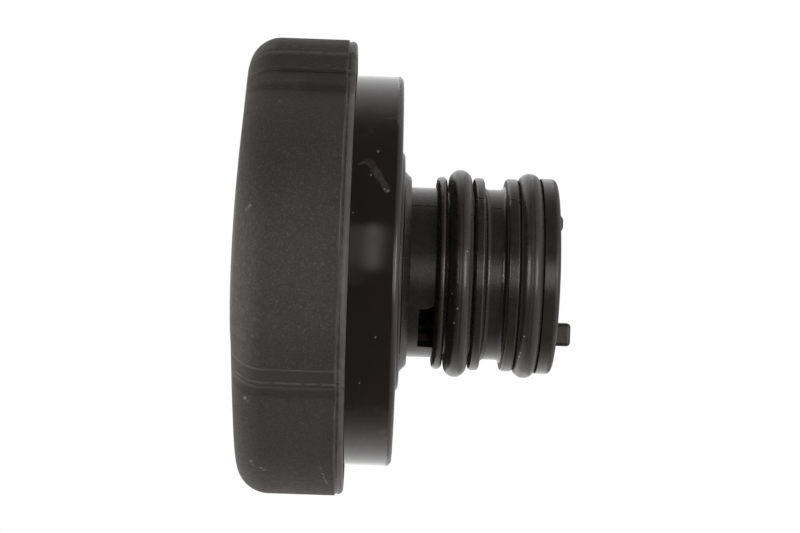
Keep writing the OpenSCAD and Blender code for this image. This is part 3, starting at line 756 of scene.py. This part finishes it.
def box_between(points, faces, low, high, deg=0.0):
    """Adds a closed box, given in millimetres, turned about the axis."""
    turn = Matrix.Rotation(math.radians(deg), 4, "Z")
    base = len(points)
    for z in (low[2], high[2]):
        for x, y in ((low[0], low[1]), (high[0], low[1]), (high[0], high[1]), (low[0], high[1])):
            points.append(tuple(turn @ Vector((x * MM, y * MM, z * MM))))
    faces += [tuple(base + k for k in f) for f in
              ((3, 2, 1, 0), (4, 5, 6, 7), (0, 1, 5, 4), (1, 2, 6, 5), (2, 3, 7, 6), (3, 0, 4, 7))]


def extruded(points, faces, outline, half_width, deg):
    """Adds a closed prism of a side view (radius, height), half its width to each side, at an angle."""
    turn = Matrix.Rotation(math.radians(deg), 4, "Z")
    base, n = len(points), len(outline)
    for y in (-half_width, half_width):
        points += [tuple(turn @ Vector((r * MM, y * MM, z * MM))) for r, z in outline]
    faces.append(tuple(base + k for k in range(n)))
    faces.append(tuple(base + n + k for k in reversed(range(n))))
    faces += [(base + k, base + n + k, base + n + (k + 1) % n, base + (k + 1) % n) for k in range(n)]


def cover_inside_sector():
    """One hook and three ribs of the cover's inside."""
    points, faces = [], []
    web_z, play, barb_h = 14, 0.2, 1.5
    hook_r, hook_t, barb = 22.4, 1.6, 1
    tip = web_z - play - barb_h
    head = crown_height(hook_r, 1) - ROOF + 0.3
    hook = [(hook_r, tip), (hook_r + hook_t, tip), (hook_r + hook_t + barb, web_z - play),
            (hook_r + hook_t, web_z - play), (hook_r + hook_t, head), (hook_r, head)]
    extruded(points, faces, hook, 3.5, 45)
    for mark in (35, 55, 75):
        f = clamp01((mark - FLANK_DEG) / RAMP_DEG)
        wall = GRIP_R - SCOOP_DEPTH * (1 - f) ** RAMP_EASE - COVER_WALL + 0.6
        box_between(points, faces, (SKIRT_R + 0.1, -0.7, RIM_Z + RIM_BAND), (wall, 0.7, 14),
                    EDGE_PHASE - mark)
    return mesh_piece("cover_inside_sector", points, faces)


inside = through_nodes(cover_inside_sector(), repeat_tree, "cover_hooks_and_ribs",
                       Copies=SECTORS, Finish=cover_finish)
face_outwards(inside, 30)
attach(inside, "cap")


def lathe(name, profile, finish, steps=256, closed=True):
    """A ring turned round +Z from a closed profile of (radius, height) in millimetres."""
    points, faces = [], []
    n = len(profile)
    for i in range(steps):
        points += [at(360 * i / steps, r, z) for r, z in profile]
    for i in range(steps):
        a, b = i * n, ((i + 1) % steps) * n
        for j in range(n if closed else n - 1):
            k = (j + 1) % n
            faces.append((a + j, b + j, b + k, a + k))
    return mesh_piece(name, points, faces, finish)


bearing_ring = lathe("cover_bearing_ring", [(25.2, 16.2), (26.6, 16.2), (26.6, 22.1), (25.2, 22.1)],
                     cover_finish)
face_outwards(bearing_ring, 30)
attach(bearing_ring, "cap")


def o_ring(name, floor_r, z, node):
    """An O-ring with the fine groove that its mould leaves round the outside and the inside."""
    radius = RING_SECTION / 2
    profile = []
    for k in range(72):
        a = 360 * k / 72
        off = min(a % 180, 180 - a % 180)
        dip = 0.07 * max(0.0, 1 - off / 4)
        profile.append((floor_r + radius + (radius - dip) * math.cos(math.radians(a)),
                        z + (radius - dip) * math.sin(math.radians(a))))
    ring = lathe(name, profile, rubber_finish, 288)
    face_outwards(ring, 180)
    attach(ring, "plug")
    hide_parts(node)


o_ring("upper_ring", *UPPER_RING, "upper_o_ring")
o_ring("lower_ring", *LOWER_RING, "lower_o_ring")


def mould_line(name, stretches, deg, radius_mm):
    """Flash left where the mould's halves met, along stretches of (radius, height) on the plug."""
    points, edges = [], []
    for stretch in stretches:
        base = len(points)
        points += [at(deg, r, z) for r, z in stretch]
        edges += [(base + k, base + k + 1) for k in range(len(stretch) - 1)]
    mesh = bpy.data.meshes.new(name + "_path")
    mesh.from_pydata(points, edges, [])
    path = bpy.data.objects.new(name + "_path", mesh)
    bpy.context.scene.collection.objects.link(path)
    line = through_nodes(path, rib_tree, name, Section_radius=radius_mm * MM, Copies=2,
                         Finish=plug_finish)
    face_outwards(line, 180)
    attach(line, "plug")


mould_line("plug_mould_lines", [
    [(BARREL_R, -1.9), (BARREL_R, -5.65)],
    [(FLANGE_R - 0.5, -5.83), (FLANGE_R - 0.08, -6.2), (FLANGE_R, -6.52), (FLANGE_R - 0.08, -6.85),
     (FLANGE_R - 0.5, -7.22)],
    [(FLANGE_R - 0.3, -11.52), (FLANGE_R, -11.9), (FLANGE_R, -12.65), (FLANGE_R - 0.3, -13.03)],
    [(GROOVE_R, -13.95), (GROOVE_R, -15.55)],
    [(FLANGE_R - 0.3, -16.47), (FLANGE_R, -16.85), (FLANGE_R, -17.95), (FLANGE_R - 0.3, -18.33)],
], -39.5, 0.09)


def shortening_spring(name, node, body):
    """A coil spring, copied from its part into a mesh of its own on its body."""
    spring = bpy.data.objects.new(name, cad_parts[node].data.copy())
    bpy.context.scene.collection.objects.link(spring)
    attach(spring, body)
    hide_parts(node)
    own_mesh(spring)


shortening_spring("main_spring", "pressure_spring", "plug")
shortening_spring("small_spring", "vacuum_spring", "pressure_valve")

# Stage, light and camera

FLOOR_Z = -0.6
# The world's strength in front, behind, straight behind and on the crown's side, and how much
# further the white reaches on the low side and on the crown's side
FRONT_DIM = 0.26
BACK_LIGHT = 1.3
BACKDROP_LIGHT = 0.34
CROWN_LIGHT = 0.2
LOW_LEAN = 0.12
CROWN_LEAN = 0.35


def studio_world():
    """White behind the cap, reaching a little round its crown's side and below, and dim in front,
    so that the black gloss stays black."""
    world = bpy.data.worlds.new("studio")
    bpy.context.scene.world = world
    world.use_nodes = True
    w = Wiring(world.node_tree)
    w.nodes.clear()
    split = w.nodes.new("ShaderNodeSeparateXYZ")
    w.links.new(w.nodes.new("ShaderNodeTexCoord").outputs["Generated"], split.inputs[0])
    below = w.calc("MAXIMUM", w.calc("MULTIPLY", split.outputs["X"], -1.0), 0.0)
    crown_side = w.calc("MAXIMUM", split.outputs["Z"], 0.0)
    behind = w.calc("MULTIPLY_ADD", below, LOW_LEAN, split.outputs["Y"])
    behind = w.calc("MULTIPLY_ADD", crown_side, CROWN_LEAN, behind)
    glow = w.calc("ADD", w.span(behind, -0.05, 0.75, FRONT_DIM, BACK_LIGHT),
                  w.span(split.outputs["Y"], 0.5, 0.95, 0.0, BACKDROP_LIGHT))
    glow = w.calc("ADD", glow, w.span(split.outputs["Z"], 0.3, 1.0, 0.0, CROWN_LIGHT))
    lit = w.nodes.new("ShaderNodeBackground")
    w.feed(lit.inputs["Strength"], glow)
    seen = w.nodes.new("ShaderNodeBackground")
    seen.inputs["Color"].default_value = (1, 1, 1, 1)
    seen.inputs["Strength"].default_value = 1.0
    mixed = w.nodes.new("ShaderNodeMixShader")
    w.links.new(w.nodes.new("ShaderNodeLightPath").outputs["Is Camera Ray"], mixed.inputs[0])
    w.links.new(lit.outputs[0], mixed.inputs[1])
    w.links.new(seen.outputs[0], mixed.inputs[2])
    w.links.new(mixed.outputs[0], w.nodes.new("ShaderNodeOutputWorld").inputs[0])


def pale_floor():
    """A pale floor that takes the shadow, and shows white where nothing shades it."""
    size = 3.0
    floor = mesh_piece("floor", [(-size, -size, FLOOR_Z), (size, -size, FLOOR_Z),
                                 (size, size, FLOOR_Z), (-size, size, FLOOR_Z)], [(0, 1, 2, 3)])
    material = bpy.data.materials.new("pale floor")
    material.use_nodes = True
    n, link = material.node_tree.nodes, material.node_tree.links
    shader = n["Principled BSDF"]
    shader.inputs["Base Color"].default_value = (0.85, 0.85, 0.85, 1)
    shader.inputs["Roughness"].default_value = 0.9
    glow = n.new("ShaderNodeEmission")
    path = n.new("ShaderNodeLightPath")
    seen = n.new("ShaderNodeMath")
    seen.operation = "MULTIPLY"
    link.new(path.outputs["Is Camera Ray"], seen.inputs[0])
    seen.inputs[1].default_value = 0.75
    link.new(seen.outputs[0], glow.inputs["Strength"])
    both = n.new("ShaderNodeAddShader")
    link.new(shader.outputs[0], both.inputs[0])
    link.new(glow.outputs[0], both.inputs[1])
    link.new(both.outputs[0], n["Material Output"].inputs["Surface"])
    floor.data.materials.append(material)


def faded(lamp, fades):
    """Lets a lamp fade to its edges over a share of its half width and half height."""
    lamp.use_nodes = True
    w = Wiring(lamp.node_tree)
    w.nodes.clear()
    split = w.nodes.new("ShaderNodeSeparateXYZ")
    w.links.new(w.nodes.new("ShaderNodeNewGeometry").outputs["Parametric"], split.inputs[0])
    off = [w.calc("ABSOLUTE", w.calc("SUBTRACT", split.outputs[axis], 0.5)) for axis in "XY"]
    across, up = [w.span(o, 0.5 - 0.5 * fade, 0.5, 1.0, 0.0) for o, fade in zip(off, fades)]
    shine = w.nodes.new("ShaderNodeEmission")
    w.feed(shine.inputs["Strength"], w.calc("MULTIPLY", across, up))
    w.links.new(shine.outputs[0], w.nodes.new("ShaderNodeOutputLight").inputs[0])


def softbox(name, towards_deg, up_deg, distance, width, height, power, fades=None):
    """A soft lamp aimed at the cap. towards_deg turns from the camera's side to the plug's end of the
    cap, and up_deg rises from the axis to the picture's top."""
    a, e = math.radians(towards_deg), math.radians(up_deg)
    away = Vector((math.sin(e), -math.cos(e) * math.cos(a), -math.cos(e) * math.sin(a)))
    lamp = bpy.data.lights.new(name, "AREA")
    lamp.shape = "RECTANGLE"
    lamp.size, lamp.size_y = width, height
    lamp.energy = power
    if fades:
        faded(lamp, fades)
    holder = bpy.data.objects.new(name, lamp)
    bpy.context.scene.collection.objects.link(holder)
    up = Vector((1, 0, 0))
    side = up.cross(away).normalized()
    up = away.cross(side)
    holder.matrix_world = Matrix.Translation(away * distance) @ Matrix(
        (side, up, away)).transposed().to_4x4()


def photo_camera():
    """The camera of the photograph: on the cap's side, rolled so that the axis lies across the picture."""
    eye = Vector((0.78, -325, 4)) * MM
    aim = Vector((0.78, 0, -0.42)) * MM
    tilt = math.radians(1.97)
    back = (eye - aim).normalized()
    across, up = Vector((0, 0, -1)), Vector((1, 0, 0))
    right = across * math.cos(tilt) + up * math.sin(tilt)
    right = (right - back * right.dot(back)).normalized()
    top = back.cross(right)
    lens = bpy.data.cameras.new("camera")
    lens.sensor_width = 36
    lens.lens = 93.4
    lens.clip_start = 0.01
    camera = bpy.data.objects.new("camera", lens)
    camera.matrix_world = Matrix.Translation(eye) @ Matrix((right, top, back)).transposed().to_4x4()
    bpy.context.scene.collection.objects.link(camera)
    bpy.context.scene.camera = camera


studio_world()
pale_floor()
softbox("left softbox", -54, 3, 0.7, 0.6, 0.34, 3.4)
softbox("left edge light", -31, 4, 0.7, 0.14, 0.34, 0.58)
softbox("right softbox", 40, 3, 0.7, 0.16, 0.34, 1.6)
softbox("front card", -3.81, 14, 0.7, 0.1, 0.36, 0.028, (0.1, 0.55))
softbox("tall front card", -4.1, 8.6, 0.7, 0.1, 0.46, 0.024, (0.24, 0.2))
softbox("front tube", -0.3, 13, 0.69, 0.011, 0.4, 0.0195, (1.0, 0.5))
softbox("low front card", 10, 1, 0.7, 0.14, 0.5, 0.8, (0.3, 0.7))
softbox("crown side softbox", -88, -16, 0.7, 0.4, 0.6, 4.0)
photo_camera()
bpy.context.scene.view_settings.view_transform = "Standard"
